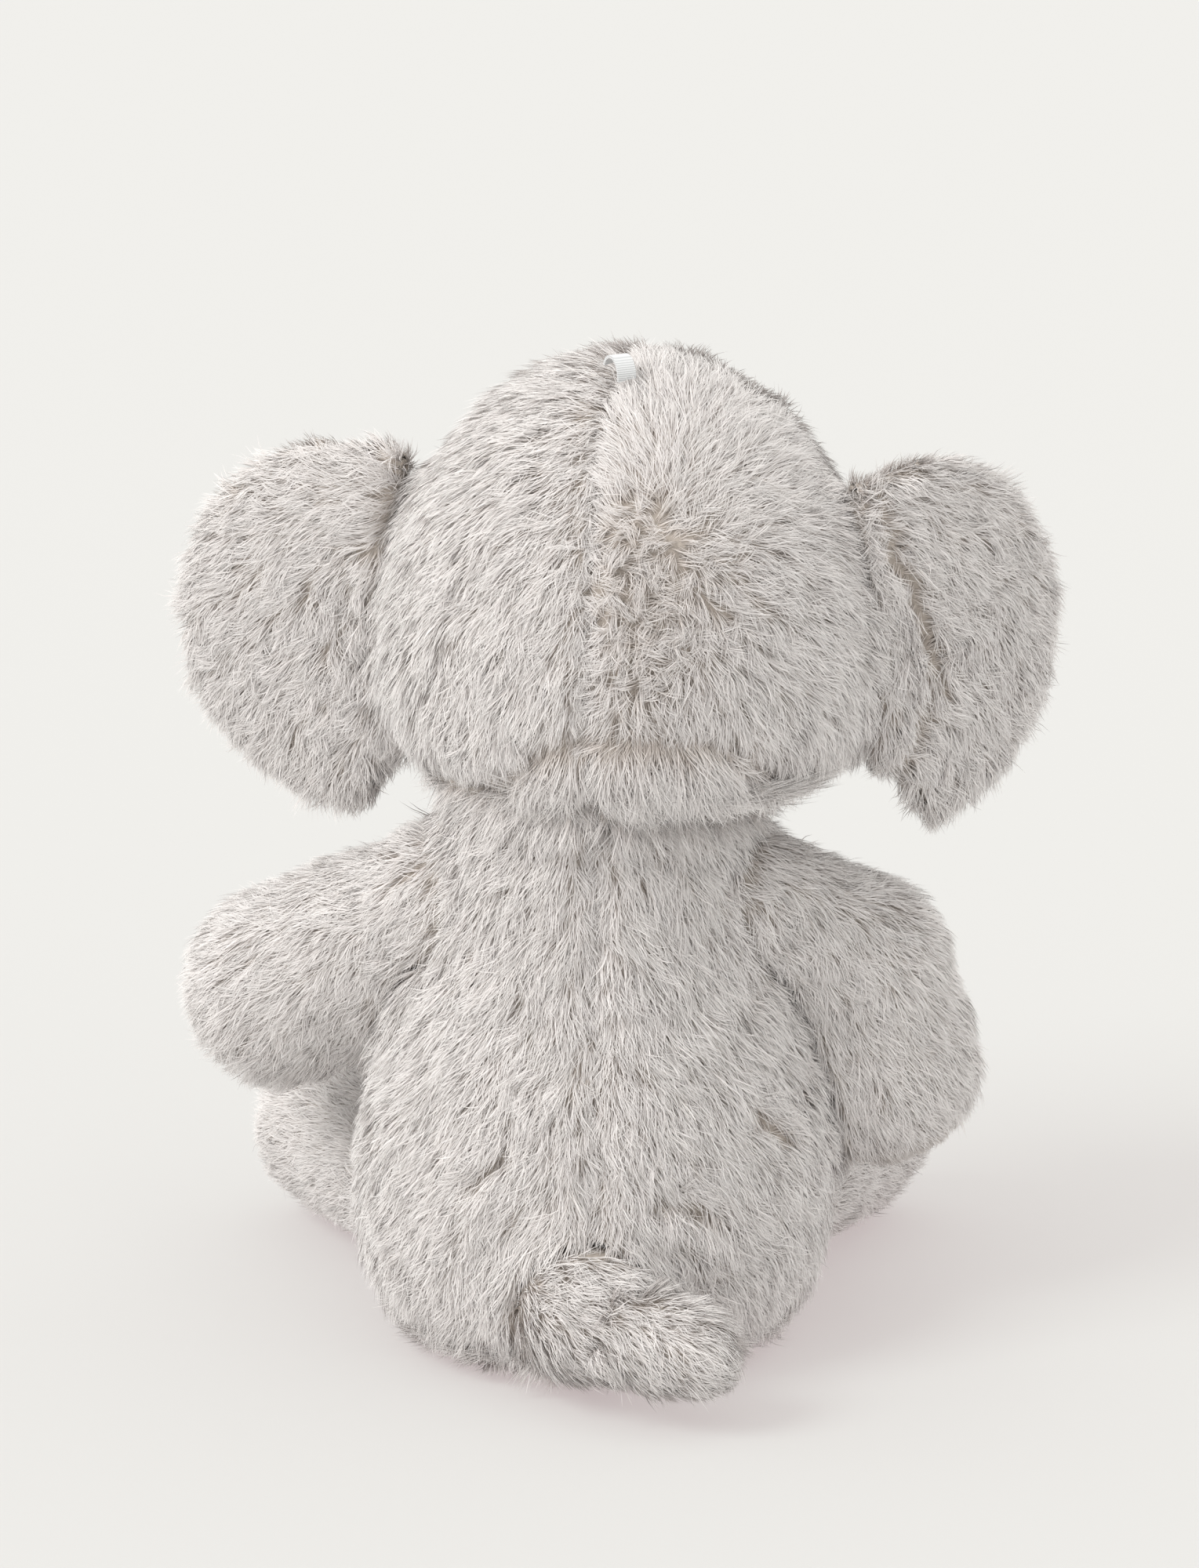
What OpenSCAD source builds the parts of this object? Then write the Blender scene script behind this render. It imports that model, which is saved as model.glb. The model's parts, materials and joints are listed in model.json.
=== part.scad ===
// Stuffed elephant that sits on a flat seat, with a head, trunk, ears, arms, legs and tail that give at their
// seams. It faces -Y, +Z is up, and the origin is the middle of the seat. Every plush cover is drawn out to
// the tips of its pile, and holds a separate filling. Left and right are the elephant's own.

/* [Plush] */
// Thickness of the plush, from its backing to the tips of the pile
pile = 9; // [7:0.5:10]
// Thickness of the plush on the ears
ear_pile = 6.5; // [6:0.5:7.5]
// Clearance between pieces that move past each other
gap = 0.7; // [0.5:0.1:0.9]
// Clearance between a cover and what it holds
fit = 0.2; // [0.1:0.05:0.3]

/* [Torso] */
// Largest radius of the torso
torso_r = 64; // [62:1:66]
// Radius of the flat that it sits on
seat_r = 34; // [30:1:38]
// Radius of the sewn seat panel
seat_panel_r = 40; // [38:1:42]
// Height of the widest part of the torso
belly_z = 46; // [42:1:50]
// Radius of the dome at the top of the torso
neck_r = 43; // [41:1:45]
// Height of the centre of that dome, which is the pivot of the neck
neck_z = 132; // [130:1:134]
// Thickness of the plug of stuffing in the neck
plug_t = 3; // [2:0.5:4]
// How far in front of the middle the side seams run
side_seam = 14; // [10:1:18]

/* [Head] */
// Width of the head across its cheeks
cheek_w = 134; // [130:1:135]
// Height of the crown above the widest part of the cheeks
crown_h = 84; // [82:1:86]
// Depth of the jowls below the widest part of the cheeks
jowl_h = 42; // [40:1:42]
// Height of the middle of the head
head_z = 206; // [205:1:208]
// How far the centre of the head sits to the right of the neck
head_shift = 10; // [8:1:12]
// Turn of the head to its own right, in degrees
head_turn = 11; // [6:1:14]
// Diameter of an eye
eye_d = 13; // [11:1:15]

/* [Ears] */
// Length of an ear from its root outwards
ear_len = 57; // [54:1:60]
// Height of an ear
ear_h = 105; // [100:1:108]
// Thickness of an ear
ear_t = 20; // [18:1:20]
// Forward sweep of the left ear, in degrees
ear_left_sweep = 10; // [0:1:20]
// Forward sweep of the right ear, in degrees
ear_right_sweep = 50; // [40:1:52]
// Droop of the left ear, in degrees
ear_left_droop = 8; // [0:1:10]
// Lift of the right ear, in degrees
ear_right_lift = 4; // [0:1:8]

/* [Limbs] */
// Radius of an arm where it leaves the shoulder
shoulder_r = 19; // [18:0.5:19]
// Radius of a paw
paw_r = 28; // [26:0.5:28]
// Radius of an arm at its elbow
elbow_r = 25.5; // [24:0.5:26]
// Radius of a leg where it leaves the hip
hip_r = 24; // [23:0.5:25]
// Radius of a foot
foot_r = 27; // [26:0.5:27]
// Radius of the tail at its root
tail_root_r = 19; // [18:0.5:19]
// Radius of the tail near its tip
tail_tip_r = 14; // [13:0.5:15]
// Radius of the trunk at its root
trunk_root_r = 19; // [18:0.5:20]
// Radius of the trunk near its tip
trunk_tip_r = 13; // [12:0.5:14]

/* [Hidden] */
SIDES = ["left", "right"];
$fn = 64;
$fa = 12;

// Points on each arc of an outline
STEPS = 8;
// Larger than the whole toy
FAR = 400;
LEFT = 1;
RIGHT = -1;

PLUSH = "#cbc5bf";
PLUSH_INNER = "#d6d0cb";
STUFFING = "#f4f2ee";

neck = [0, 0, neck_z];
socket_r = neck_r + plug_t + 2 * gap;
head_at = [-head_shift, -6, head_z];
neck_in_head = let (d = neck - head_at)
    [d.x * cos(head_turn) - d.y * sin(head_turn), d.x * sin(head_turn) + d.y * cos(head_turn), d.z];

cheek_z = -22;
face_seam = -10;
eye_dir = [0.46, -0.87, 0.12];
eye_out = 64;
eye_stem_r = 2.2;
washer_r = 7;
washer_t = 1.6;
// How far a washer lies behind the plush, which slopes away from it
washer_drop = 3.6;

ear_root = [69, -4, -17];
ear_root_r = 9.5;
ear_root_len = 56;
// Where an ear's pad and its hollow begin, out from the middle of its root bar, and the share of the
// clearance by which the filling begins further out than the hollow
ear_start = 6.6;
ear_hollow_start = 2.2;
ear_filling_share = 0.3;
// Above the root bar the pad reaches back over the head, inside a cone about the bar
flare_low = 24;
flare_high = 50;
flare_left_r = 20;
flare_right_r = 13;
ear_seam = 0.1;

// Each limb runs from the pivot at its root to the middle of its rounded end, an arm by way of its elbow.
shoulder = [43, 0, 121];
elbow_left = [61, -20, 101];
elbow_right = [70, -15, 97];
paw_left = [82, -38, 84];
paw_right = [76, -20, 68];
paw_end = 0.96;
paw_seam = 0.45;

hip = [43, -40, 27.6];
foot = [66, -92, 27.6];
right_hip = [-hip.x, hip.y, hip.z];
right_foot = [-foot.x, foot.y, foot.z];
// The level axis that a leg lifts about, square to the leg
lift_axis = cross(right_foot - right_hip, [0, 0, 1]);
foot_end = 0.78;
sole_seam = 0.5;
leg_lift = 25;

tail_root = [1, 59, 25];
tail_tip = [-25, 77, 22];
tail_start = 68;

// The trunk has two straight stretches, in the head's own frame.
trunk_root = [0, -60, -16];
trunk_knee = [0, -76, -40];
trunk_tip = [0, -83, -66];
trunk_knee_r = (trunk_root_r + trunk_tip_r) / 2;
trunk_back = 10;
jowl_at = [0, -20.5, -20];
jowl_r = 47.5;

// ---------- helpers ----------

module half(dir)
    translate(dir * FAR / 2)
        cube(FAR, center = true);

// Puts the child's +Z along the line between two points, with its origin at the first.
module aim(from, to) {
    d = to - from;
    translate(from)
        rotate([0, acos(d.z / norm(d)), atan2(d.y, d.x)])
            children();
}

// Turns the child about an axis through a point.
module turn_about(point, axis, angle)
    translate(point)
        rotate(a = angle, v = axis)
            translate(-point)
                children();

function flip(p, side) = [side * p.x, p.y, p.z];

// Half outline of a limb along +Z: a ball at the origin, a straight taper, and a second ball that may be cut
// flat at `end` past its centre.
function limb_outline(r0, r1, len, end) =
    let (lean = asin((r0 - r1) / len), last = asin(min(1, end / r1)))
    concat(
        [for (i = [0:STEPS]) let (a = -90 + (90 + lean) * i / STEPS) [r0 * cos(a), r0 * sin(a)]],
        [for (i = [0:STEPS]) let (a = lean + (last - lean) * i / STEPS) [r1 * cos(a), len + r1 * sin(a)]],
        end < r1 ? [[0, len + end]] : []
    );

// A rounded limb between two points, with its surface moved in by `inset`.
module limb(from, to, r0, r1, end, inset)
    aim(from, to)
        rotate_extrude()
            polygon(limb_outline(r0 - inset, r1 - inset, norm(to - from), end - inset));

// ---------- torso ----------

// Half outline of the torso: the rounded seat, the pear-shaped sides, then the dome under the head.
function torso_outline(inset, steps = STEPS) =
    let (
        wide = torso_r - inset,
        narrow = neck_r - inset,
        flat = seat_r - inset / 2,
        low = belly_z - inset
    )
    concat(
        [[0, inset]],
        [for (i = [0:steps]) let (a = 90 * i / steps)
            [flat + (wide - flat) * pow(sin(a), 0.8), belly_z - low * pow(cos(a), 0.8)]],
        [for (i = [1:steps]) let (t = i / steps)
            [narrow + (wide - narrow) * (1 + cos(180 * t)) / 2, belly_z + (neck_z - belly_z) * t]],
        [for (i = [1:steps - 1]) let (a = 90 * i / steps) [narrow * cos(a), neck_z + narrow * sin(a)]],
        [[0, neck_z + narrow]]
    );

module torso_solid(inset)
    rotate_extrude()
        polygon(torso_outline(inset));

// The torso in fewer rings, a little larger, to cut the limbs back from it.
module torso_bulk(grow)
    rotate_extrude()
        polygon(torso_outline(-grow - 0.8, STEPS / 2));

// The hollows that the roots of the limbs turn in.
module limb_sockets()
    for (p = [[flip(shoulder, LEFT), shoulder_r], [flip(shoulder, RIGHT), shoulder_r],
              [flip(hip, LEFT), hip_r], [flip(hip, RIGHT), hip_r], [tail_root, tail_root_r]])
        translate(p[0])
            sphere(r = p[1] + gap);

module torso_shell()
    difference() {
        torso_solid(0);
        torso_solid(pile);
        cylinder(r = seat_panel_r, h = 2 * pile, center = true);
        limb_sockets();
    }

module torso_back_left()
    color(PLUSH)
        intersection() {
            torso_shell();
            half([1, 0, 0]);
            translate([0, -side_seam, 0])
                half([0, 1, 0]);
        }

module torso_back_right()
    color(PLUSH)
        intersection() {
            torso_shell();
            half([-1, 0, 0]);
            translate([0, -side_seam, 0])
                half([0, 1, 0]);
        }

module torso_belly()
    color(PLUSH)
        intersection() {
            torso_shell();
            translate([0, -side_seam, 0])
                half([0, -1, 0]);
        }

module torso_seat()
    color(PLUSH)
        difference() {
            intersection() {
                torso_solid(0);
                cylinder(r = seat_panel_r, h = 2 * pile, center = true);
            }
            limb_sockets();
        }

// The pellets lie between the hips and the tail and weigh the seat down.
pellet_at = [0, 8, 27];
pellet_r = 15;
pellet_edge = 10;

module pellet_cushion(grow)
    translate(pellet_at) {
        cylinder(r = pellet_r, h = 2 * (pellet_edge + grow), center = true);
        rotate_extrude()
            translate([pellet_r, 0])
                circle(r = pellet_edge + grow);
    }

module torso_filling()
    color(STUFFING)
        difference() {
            torso_solid(pile + fit);
            limb_sockets();
            pellet_cushion(fit);
        }

module pellet_bag()
    color("#e3ddd0")
        pellet_cushion(0);

// ---------- neck ----------

plug_angle = 50;

// A domed layer of stuffing that lies between the top of the torso and the hollow under the head.
module neck_plug()
    color(STUFFING)
        translate(neck)
            rotate_extrude()
                intersection() {
                    difference() {
                        circle(r = neck_r + gap + plug_t);
                        circle(r = neck_r + gap);
                    }
                    polygon([[0, 0], [FAR * sin(plug_angle), FAR * cos(plug_angle)], [0, FAR]]);
                }

// ---------- head ----------

module head_frame()
    translate(head_at)
        rotate([0, 0, -head_turn])
            children();

// Half outline of the head: heavy round cheeks low down, under a narrower dome.
function head_outline(inset) =
    let (wide = cheek_w / 2 - inset, high = crown_h - inset, low = jowl_h - inset)
    concat(
        [[0, -low]],
        [for (i = [1:STEPS]) let (a = 90 * i / STEPS)
            [wide * pow(sin(a), 0.85), -low * pow(cos(a), 0.85)]],
        [for (i = [1:STEPS - 1]) let (a = 90 * i / STEPS) [wide * cos(a), high * sin(a)]],
        [[0, high]]
    );

module head_solid(inset) {
    translate([0, 0, cheek_z])
        rotate_extrude()
            polygon(head_outline(inset));
}

// Half outline of a ball made of short cones that clear the given radius.
function ball_outline(radius) =
    let (r = radius / cos(45 / STEPS))
    concat(
        [[0, -r]],
        [for (i = [1 - STEPS:STEPS - 1]) let (a = 90 * i / STEPS) [r * cos(a), r * sin(a)]],
        [[0, r]]
    );

// The hollow over the neck, given in the head's frame.
module neck_hollow()
    translate(neck_in_head)
        rotate_extrude()
            polygon(ball_outline(socket_r));

module ear_frame(side)
    translate(flip(ear_root, side))
        rotate([0, 0, -side * (side == LEFT ? ear_left_sweep : ear_right_sweep)])
            rotate([0, side == LEFT ? ear_left_droop : ear_right_lift, 0])
                mirror([side == LEFT ? 0 : 1, 0, 0])
                    children();

module ear_root_bar(grow)
    translate([0, 0, -ear_root_len / 2])
        rotate_extrude()
            polygon(limb_outline(ear_root_r + grow, ear_root_r + grow, ear_root_len, ear_root_r + grow));

// The cone that bounds an ear's pad above its root bar, about the line that the ear swings on.
module ear_flare(side, grow)
    rotate_extrude()
        polygon([
            [0, flare_low - grow],
            [ear_root_r + grow, flare_low - grow],
            [(side == LEFT ? flare_left_r : flare_right_r) + grow, flare_high + grow],
            [0, flare_high + grow]
        ]);

module ear_hollow(side)
    ear_frame(side) {
        ear_root_bar(gap);
        ear_flare(side, gap);
    }

module trunk_hollow()
    translate(trunk_root)
        rotate_extrude()
            polygon(ball_outline(trunk_root_r + gap));

// Puts a child on the skull at an eye, with +Z outwards.
module eye_frame(side)
    aim([0, 0, 0], flip(eye_dir, side))
        translate([0, 0, eye_out])
            children();

module head_shell()
    difference() {
        head_solid(0);
        head_solid(pile);
    }

module head_back(side)
    color(PLUSH)
        head_frame()
            difference() {
                intersection() {
                    head_shell();
                    translate([side * FAR / 2, face_seam + FAR / 2, 0])
                        cube(FAR, center = true);
                }
                neck_hollow();
                ear_hollow(side);
            }

module head_back_left() head_back(LEFT);
module head_back_right() head_back(RIGHT);

module face()
    color(PLUSH)
        head_frame()
            difference() {
                intersection() {
                    head_shell();
                    translate([0, face_seam, 0])
                        half([0, -1, 0]);
                }
                neck_hollow();
                trunk_hollow();
                for (side = [LEFT, RIGHT]) {
                    ear_hollow(side);
                    eye_frame(side)
                        eye_hole(pile + washer_drop);
                }
            }

module head_filling()
    color(STUFFING)
        head_frame()
            difference() {
                head_solid(pile + fit);
                neck_hollow();
                trunk_hollow();
                for (side = [LEFT, RIGHT])
                    ear_hollow(side);
                for (side = [LEFT, RIGHT])
                    eye_frame(side) {
                        eye_hole(stem_depth + fit);
                        translate([0, 0, -pile - washer_drop - washer_t - fit])
                            cylinder(r = washer_r + fit, h = washer_drop + washer_t + 2 * fit);
                    }
            }

// How deep the ribbon's middle is sunk below the top of the crown
loop_sunk = 3.5;
loop_at = [0, 16, crown_h + cheek_z - loop_sunk];
loop_r = 5;
loop_w = 5;
loop_t = 0.8;

// A narrow ribbon sewn into the crown seam as a small standing loop.
module crown_loop()
    color("#f3f3f1")
        head_frame()
            difference() {
                translate(loop_at)
                    rotate([0, 90, 35])
                        difference() {
                            cylinder(r = loop_r, h = loop_w, center = true);
                            cylinder(r = loop_r - loop_t, h = 2 * loop_w, center = true);
                        }
                head_solid(-fit);
            }

// ---------- eyes ----------

eye_rise = 1.5;
eye_flat = 1;
// How far a stem reaches past its washer
stem_end = 2;
stem_depth = pile + washer_drop + washer_t + stem_end;

module eye_hole(depth)
    translate([0, 0, -depth])
        cylinder(r = eye_stem_r + 0.1, h = depth + 2);

// A domed button on a stem that goes through the face and is held by a washer behind it.
module eye(side)
    color("#141414")
        head_frame()
            eye_frame(side) {
                intersection() {
                    translate([0, 0, eye_flat])
                        sphere(r = eye_d / 2);
                    translate([0, 0, eye_flat])
                        half([0, 0, 1]);
                }
                translate([0, 0, -stem_depth])
                    cylinder(r = eye_stem_r, h = stem_depth + eye_flat + eye_rise);
            }

module eye_left() eye(LEFT);
module eye_right() eye(RIGHT);

module eye_washer(side)
    color("#e8e8e4")
        head_frame()
            eye_frame(side)
                translate([0, 0, -pile - washer_drop - washer_t])
                    difference() {
                        cylinder(r = washer_r, h = washer_t);
                        cylinder(r = eye_stem_r + 0.1, h = 3 * washer_t, center = true);
                    }

module eye_washer_left() eye_washer(LEFT);
module eye_washer_right() eye_washer(RIGHT);

// ---------- trunk ----------

// The jowls as the trunk sees them over its backward travel, as a ball that just holds them.
module jowl_sweep(grow)
    for (a = [0, trunk_back / 2, trunk_back])
        turn_about(trunk_root, [1, 0, 0], -a)
            translate(jowl_at)
                sphere(r = jowl_r + grow);

module trunk_solid(inset) {
    translate(trunk_root)
        sphere(r = trunk_root_r - inset);
    difference() {
        union() {
            limb(trunk_root, trunk_knee, trunk_root_r - 2, trunk_knee_r + 0.4, trunk_knee_r + 0.4, inset);
            limb(trunk_knee, trunk_tip, trunk_knee_r, trunk_tip_r, trunk_tip_r * paw_end, inset);
        }
        jowl_sweep(gap + inset / 3);
    }
}

module trunk_panel(side)
    color(PLUSH)
        head_frame()
            intersection() {
                difference() {
                    trunk_solid(0);
                    trunk_solid(pile);
                }
                half([side, 0, 0]);
            }

module trunk_left_panel() trunk_panel(LEFT);
module trunk_right_panel() trunk_panel(RIGHT);

module trunk_filling()
    color(STUFFING)
        head_frame()
            trunk_solid(pile + fit);

// ---------- ears ----------

// Half outline of an ear's pad: domed on both faces, with a full round edge.
function ear_outline(inset) =
    let (reach = ear_h / 2 - inset, high = ear_t / 2 - inset)
    concat(
        [[0, -high]],
        [for (i = [1:2 * STEPS - 1]) let (a = -90 + 90 * i / STEPS)
            [reach * pow(cos(a), 0.75), high * sign(sin(a)) * pow(abs(sin(a)), 0.85)]],
        [[0, high]]
    );

function ear_start_at(inset) =
    inset == 0 ? ear_start : ear_hollow_start + ear_filling_share * (inset - ear_pile);

// A round pad, cut off where it meets the root bar.
module ear_solid(side, inset) {
    intersection() {
        translate([ear_len - ear_h / 2, 0, 0])
            rotate([90, 0, 0])
                rotate_extrude()
                    polygon(ear_outline(inset));
        union() {
            translate([ear_start_at(inset), 0, 0])
                half([1, 0, 0]);
            ear_flare(side, -inset);
        }
    }
    ear_root_bar(-inset);
}

module ear_shell(side)
    difference() {
        ear_solid(side, 0);
        ear_solid(side, ear_pile);
    }

module ear_half(side)
    intersection() {
        ear_shell(side);
        translate([0, ear_seam, 0])
            half([0, 1, 0]);
    }

module ear_back(side)
    color(PLUSH)
        head_frame()
            ear_frame(side)
                ear_half(side);

module ear_front(side)
    color(PLUSH_INNER)
        head_frame()
            ear_frame(side)
                mirror([0, 1, 0])
                    ear_half(side);

module ear_left_back() ear_back(LEFT);
module ear_left_front() ear_front(LEFT);
module ear_right_back() ear_back(RIGHT);
module ear_right_front() ear_front(RIGHT);

module ear_filling(side)
    color(STUFFING)
        head_frame()
            ear_frame(side)
                ear_solid(side, ear_pile + fit);

module ear_left_filling() ear_filling(LEFT);
module ear_right_filling() ear_filling(RIGHT);

// ---------- arms ----------

function paw(side) = flip(side == LEFT ? paw_left : paw_right, side);
function elbow(side) = flip(side == LEFT ? elbow_left : elbow_right, side);

module arm_solid(side, inset) {
    translate(flip(shoulder, side))
        sphere(r = shoulder_r - inset);
    difference() {
        union() {
            limb(flip(shoulder, side), elbow(side), shoulder_r - 2, elbow_r + 0.4, elbow_r + 0.4, inset);
            limb(elbow(side), paw(side), elbow_r, paw_r, paw_r * paw_end, inset);
        }
        torso_bulk(gap + inset / 3);
    }
}

module arm_shell(side)
    difference() {
        arm_solid(side, 0);
        arm_solid(side, pile);
    }

// Everything past the seam of the paw.
module past_paw_seam(side)
    aim(elbow(side), paw(side))
        translate([0, 0, norm(paw(side) - elbow(side)) + paw_r * paw_seam])
            half([0, 0, 1]);

module arm_cover(side)
    color(PLUSH)
        difference() {
            arm_shell(side);
            past_paw_seam(side);
        }

module arm_paw(side)
    color(PLUSH_INNER)
        intersection() {
            arm_shell(side);
            past_paw_seam(side);
        }

module arm_left_cover() arm_cover(LEFT);
module arm_right_cover() arm_cover(RIGHT);
module arm_left_paw() arm_paw(LEFT);
module arm_right_paw() arm_paw(RIGHT);
module arm_left_filling() color(STUFFING) arm_solid(LEFT, pile + fit);
module arm_right_filling() color(STUFFING) arm_solid(RIGHT, pile + fit);

// ---------- legs ----------

// Both legs are the right one, mirrored for the left side.
module on_leg_side(side)
    mirror([side == LEFT ? 1 : 0, 0, 0])
        children();

module leg_solid(inset) {
    translate(right_hip)
        sphere(r = hip_r - inset);
    difference() {
        limb(right_hip, right_foot, hip_r - 1, foot_r, foot_r * foot_end, inset);
        for (angle = [0, -leg_lift])
            turn_about(right_hip, lift_axis, angle)
                torso_bulk(gap + inset / 3);
    }
}

module leg_shell()
    difference() {
        leg_solid(0);
        leg_solid(pile);
    }

// Everything past the seam round the sole.
module past_sole_seam()
    aim(right_hip, right_foot)
        translate([0, 0, norm(foot - hip) + foot_r * sole_seam])
            half([0, 0, 1]);

module leg_cover(side)
    color(PLUSH)
        on_leg_side(side)
            difference() {
                leg_shell();
                past_sole_seam();
            }

module leg_sole(side)
    color(PLUSH_INNER)
        on_leg_side(side)
            intersection() {
                leg_shell();
                past_sole_seam();
            }

module leg_filling(side)
    color(STUFFING)
        on_leg_side(side)
            leg_solid(pile + fit);

module leg_left_cover() leg_cover(LEFT);
module leg_right_cover() leg_cover(RIGHT);
module leg_left_sole() leg_sole(LEFT);
module leg_right_sole() leg_sole(RIGHT);
module leg_left_filling() leg_filling(LEFT);
module leg_right_filling() leg_filling(RIGHT);

// ---------- tail ----------

module tail_solid(inset) {
    translate(tail_root)
        sphere(r = tail_root_r - inset);
    difference() {
        limb(tail_root, tail_tip, tail_root_r - 1, tail_tip_r, tail_tip_r * paw_end, inset);
        translate([0, tail_start + inset / 3, 0])
            half([0, -1, 0]);
    }
}

module tail_cover()
    color(PLUSH)
        difference() {
            tail_solid(0);
            tail_solid(pile);
        }

module tail_filling()
    color(STUFFING)
        tail_solid(pile + fit);

torso_back_left();
torso_back_right();
torso_belly();
torso_seat();
torso_filling();
pellet_bag();
neck_plug();
head_back_left();
head_back_right();
face();
head_filling();
crown_loop();
eye_left();
eye_right();
eye_washer_left();
eye_washer_right();
trunk_left_panel();
trunk_right_panel();
trunk_filling();
ear_left_back();
ear_left_front();
ear_left_filling();
ear_right_back();
ear_right_front();
ear_right_filling();
arm_left_cover();
arm_left_paw();
arm_left_filling();
arm_right_cover();
arm_right_paw();
arm_right_filling();
leg_left_cover();
leg_left_sole();
leg_left_filling();
leg_right_cover();
leg_right_sole();
leg_right_filling();
tail_cover();
tail_filling();
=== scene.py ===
"""Looks of the stuffed elephant: sewn skins under a combed long pile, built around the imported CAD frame."""

import json
import math

import bmesh
import bpy
import numpy as np
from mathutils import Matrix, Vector, bvhtree, kdtree


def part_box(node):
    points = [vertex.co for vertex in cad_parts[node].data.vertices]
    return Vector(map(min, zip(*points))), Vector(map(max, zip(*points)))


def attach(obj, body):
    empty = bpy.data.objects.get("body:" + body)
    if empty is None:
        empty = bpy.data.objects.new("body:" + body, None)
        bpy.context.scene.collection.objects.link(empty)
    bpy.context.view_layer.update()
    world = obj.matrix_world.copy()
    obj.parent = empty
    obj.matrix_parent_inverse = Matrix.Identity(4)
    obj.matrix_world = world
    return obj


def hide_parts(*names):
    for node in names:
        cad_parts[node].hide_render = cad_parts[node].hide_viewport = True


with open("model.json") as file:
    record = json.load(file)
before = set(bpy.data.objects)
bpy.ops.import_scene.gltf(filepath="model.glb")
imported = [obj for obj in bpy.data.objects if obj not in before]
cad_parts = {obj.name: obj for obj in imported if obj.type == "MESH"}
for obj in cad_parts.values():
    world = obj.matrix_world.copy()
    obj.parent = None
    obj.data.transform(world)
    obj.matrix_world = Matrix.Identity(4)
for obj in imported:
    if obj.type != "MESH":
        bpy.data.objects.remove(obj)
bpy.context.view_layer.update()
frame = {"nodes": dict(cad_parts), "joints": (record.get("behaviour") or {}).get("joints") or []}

MM = 0.001
UP = np.array([0.0, 0.0, 1.0])
SEED = 20417
SEED_STEP = 10

# Smooth noise: a sum of waves whose lengths vary about the wanted size
WAVES = 7
WAVE_LENGTHS = (0.7, 1.6)
WAVE_LEVEL = 0.6

# Skins: the sewn cloth lies under the pile, this far inside the CAD envelope. It is sunk in rounds,
# less where another body is nearer than TIGHT_REACH
VOXEL = 2.6 * MM
SKIN_INSET = 3.9 * MM
LIMB_INSET = 3.1 * MM
EAR_INSET = 2.9 * MM
INSET_ROUNDS = 6
TIGHT_REACH = 9 * MM
CLOTH_THICKNESS = 1.4 * MM
SEAM_REACH = 5 * MM
SEAM_DEPTH = 1.6 * MM
CREASE_DEPTH = 2.2 * MM
CREASE_WIDTH = 2.4 * MM
CREASE_SLOPE = 0.4
FOLD_DEPTH = 1.6 * MM
FOLD_WIDTH = 3.6 * MM

# Fillings: how far the skin stays clear of the CAD filling, and how the moulded one lies inside the skin
FILLING_ROOM = 1.7 * MM
FILLING_REACH = 4 * SKIN_INSET
FILLING_GAP = 0.3 * MM
FILLING_ROUNDS = 10

# The nape: an arched fold across the back of the head, flat in the middle and lower at its ends
NAPE_X = -0.012
NAPE_TOP = 0.181
NAPE_DROP = 0.019
NAPE_FLAT = 0.015
NAPE_REACH = 0.046
NAPE_END = 1.2 * NAPE_REACH
NAPE_BLEND = 0.006
BACK_FROM = 0.01
BACK_FULL = 0.025

# Pile: flat tapered fibres with four rings of points, the last one the tip. They droop towards the tip,
# are left out where another body touches the skin, and stay above the floor
RINGS = 4
FIBRE_WIDTH = 0.24 * MM
FIBRE_TAPER = (1.0, 1.0, 0.72)
FIBRE_DROOP = 0.75
FIBRES_PER_CLUMP = 14
FIBRES_PER_MM2 = 2.7
QUICK_WIDENING = 1.0
BARE_DISTANCE = 1.0 * MM
PARTING_REACH = 1.2 * SEAM_REACH
FLOOR_REST = 0.4 * MM

# A fibre's place in UV: across, a column that picks its shade, and up from its root to its tip, ending lower
# where shade is painted
STRAND_UV = "OFBake"
SHADE_COLUMNS = (0.01, 0.99)
COLUMN_HALF = 0.002

# How unevenly the pile lies: spreads of a clump and of a fibre in it, in radians for directions and
# as shares of the style's own value for a clump's lift and length and a fibre's length and width
CLUMP_LIFT_SPREAD = 0.12
CLUMP_LENGTH_SPREAD = 0.08
CLUMP_BEND_SPREAD = 0.3
FIBRE_HEADING_SPREAD = 0.26
FIBRE_LIFT_SPREAD = 0.12
FIBRE_BEND_SPREAD = 0.35
FIBRE_NORMAL_SPREAD = 0.22
FIBRE_ROLL = 1.0
FIBRE_LENGTHS = (0.72, 1.08)
FIBRE_WIDTHS = (0.75, 1.25)
FIBRE_LIFTS = (0.02, 1.3)
CLUMP_LIFTS = (math.radians(5), math.radians(70))

# Tufts: how much they change lift and length, and their size for length as a share of the size for lift
TUFT_LIFT = 0.35
TUFT_LENGTH = 0.14
LENGTH_TUFT = 0.6

# Fibres gather round their clump's own line: the most that one does, how few do, and how late they bend
GATHER = 0.6
GATHER_POWER = 1.5
PULL_POWER = 1.3

# What the rubbed-up patches, the nape and the folds change
ROUGH_STRAY = 5
ROUGH_LIFT_SPREAD = 2
ROUGH_LIFT = 0.35
ROUGH_LENGTH = 0.3
# Darker pile in rubbed-up patches: partly the darker roots showing, partly painted shade
ROUGH_ROOTS_AND_PAINTED_SHADE = 0.52
NAPE_LIFT = 0.5
NAPE_LENGTH = 0.6
HOLLOW_LENGTH = 0.5
# Painted shade: how much darker the pile is painted in the fold at the nape and in the creases and partings
HOLLOW_PAINTED_SHADE = 0.85
CREASE_SHARE = 0.3
CREASE_COMB = 2

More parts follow.
